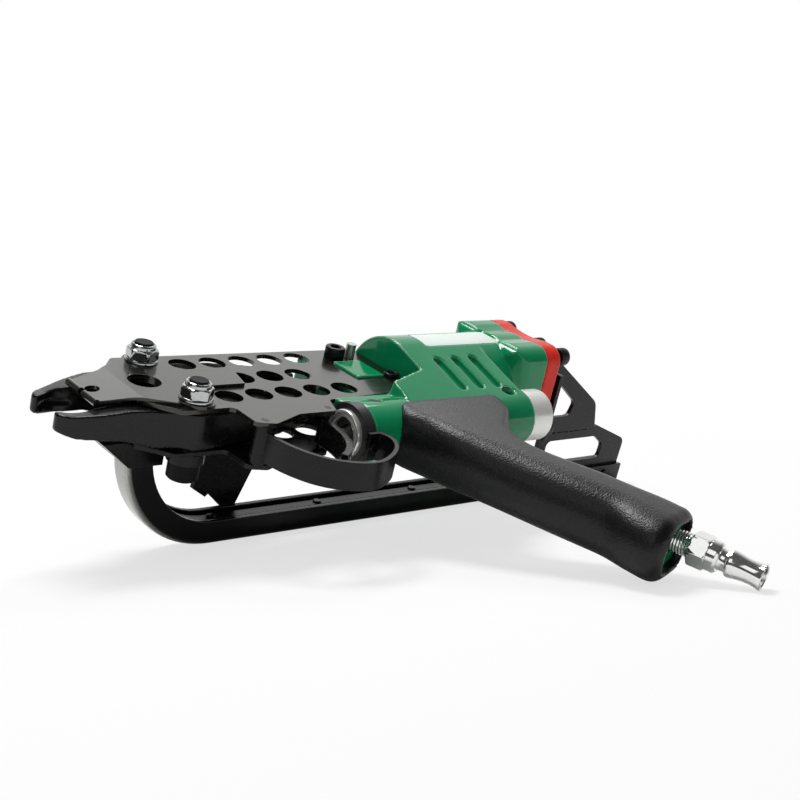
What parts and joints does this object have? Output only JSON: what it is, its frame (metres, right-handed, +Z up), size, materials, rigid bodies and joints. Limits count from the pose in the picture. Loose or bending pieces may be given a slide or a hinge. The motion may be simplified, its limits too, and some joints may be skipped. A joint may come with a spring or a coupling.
{
  "type": "pneumatic hog ring plier",
  "caption": "Pneumatic hog ring plier with pierced black head plates, hooked jaws, a green cylinder housing, a raked rubber grip and a bent magazine rail below.",
  "frame": {"origin": "middle of the bounding box on the ground, with the tool at rest on its rail and grip end", "axes": "+X from the jaws to the rear cap, -Y towards the grip's end, +Z up"},
  "size_m": [0.391, 0.241, 0.1005],
  "materials": {
    "black_enamel_sheet": "satin gloss",
    "forged_black_steel": "satin",
    "hardened_steel": "ground",
    "zinc_plate": "bright plated",
    "black_oxide_steel": "satin",
    "green_enamel": "gloss enamel",
    "red_plastic": "semi-gloss",
    "bare_aluminium": "turned",
    "black_acetal": "matt",
    "bearing_bronze": "machined",
    "black_rubber": "fine leathery grain",
    "nitrile": "smooth",
    "white_film": "smooth film"
  },
  "bodies": {
    "frame": {"top_plate": "black_enamel_sheet", "bottom_plate": "black_enamel_sheet", "nose_cover": "black_enamel_sheet", "trigger_guard": "black_enamel_sheet", "rail_stay": "black_enamel_sheet", "rear_bracket": "black_enamel_sheet", "magazine_rail": "black_enamel_sheet", "magazine_foot": "black_enamel_sheet", "pivot_sleeves": "hardened_steel", "locating_pin": "hardened_steel", "guard_pin": "hardened_steel", "trigger_pin": "hardened_steel", "return_spring": "hardened_steel", "valve_spring": "hardened_steel", "pivot_lock_nuts": "zinc_plate", "air_plug": "zinc_plate", "valve_bezel": "zinc_plate", "pivot_bolts": "black_oxide_steel", "pivot_washers": "black_oxide_steel", "cap_screws": "black_oxide_steel", "plate_screws": "black_oxide_steel", "set_screws": "black_oxide_steel", "guard_screw": "black_oxide_steel", "stay_screws": "black_oxide_steel", "rail_rivets": "black_oxide_steel", "bracket_rivets": "black_oxide_steel", "rail_guide_bar": "black_oxide_steel", "housing": "green_enamel", "end_cap": "red_plastic", "valve_plug": "bare_aluminium", "valve_sleeve": "black_acetal", "rod_bushing": "bearing_bronze", "grip_sleeve": "black_rubber", "cap_seal_ring": "nitrile", "label_plate": "white_film"},
    "drive": {"cam_wedge": "hardened_steel", "piston_rod": "hardened_steel", "piston": "bare_aluminium", "piston_seal": "nitrile", "rod_nut": "hardened_steel"},
    "far_lever": {"far_jaw": "forged_black_steel", "far_roller_pin": "hardened_steel"},
    "near_lever": {"near_jaw": "forged_black_steel", "near_roller_pin": "hardened_steel"},
    "far_follower": {"far_roller": "hardened_steel"},
    "near_follower": {"near_roller": "hardened_steel"},
    "trigger_lever": {"trigger": "forged_black_steel"},
    "stem": {"valve_stem": "hardened_steel"},
    "pusher": {"ring_pusher": "black_oxide_steel"}
  },
  "joints": [
    {"name": "piston_slide", "type": "slide", "parent": "frame", "child": "drive", "axis": [-1, 0, 0], "range_m": [0, 0.024], "stiffness_N_per_m": 300, "deforming": ["return_spring"]},
    {"name": "far_jaw_pivot", "type": "hinge", "parent": "frame", "child": "far_lever", "pos_m": [-0.1365, 0.10663, 0.07561], "axis": [0, -0.2969, 0.9549], "range_deg": [0, 6.5]},
    {"name": "near_jaw_pivot", "type": "hinge", "parent": "frame", "child": "near_lever", "pos_m": [-0.1365, 0.06366, 0.06225], "axis": [0, -0.2969, 0.9549], "range_deg": [-6.5, 0]},
    {"name": "far_roller_spin", "type": "hinge", "parent": "far_lever", "child": "far_follower", "pos_m": [-0.0665, 0.09374, 0.0716], "axis": [0, -0.2969, 0.9549], "continuous": true},
    {"name": "near_roller_spin", "type": "hinge", "parent": "near_lever", "child": "near_follower", "pos_m": [-0.0665, 0.07655, 0.06626], "axis": [0, -0.2969, 0.9549], "continuous": true},
    {"name": "trigger_pull", "type": "hinge", "parent": "frame", "child": "trigger_lever", "pos_m": [-0.0755, 0.04838, 0.0575], "axis": [0, -0.2969, 0.9549], "range_deg": [0, 14.5]},
    {"name": "valve_stem_slide", "type": "slide", "parent": "frame", "child": "stem", "axis": [1, 0, 0], "range_m": [0, 0.00134], "stiffness_N_per_m": 400, "deforming": ["valve_spring"]},
    {"name": "ring_pusher_slide", "type": "slide", "parent": "frame", "child": "pusher", "axis": [-1, 0, 0], "range_m": [0, 0.18]}
  ],
  "couplings": [
    {"joint": "far_jaw_pivot", "follows": "piston_slide", "rad_per_m": 4.7269},
    {"joint": "near_jaw_pivot", "follows": "piston_slide", "rad_per_m": -4.7269},
    {"joint": "trigger_pull", "follows": "valve_stem_slide", "rad_per_m": 181.82}
  ]
}
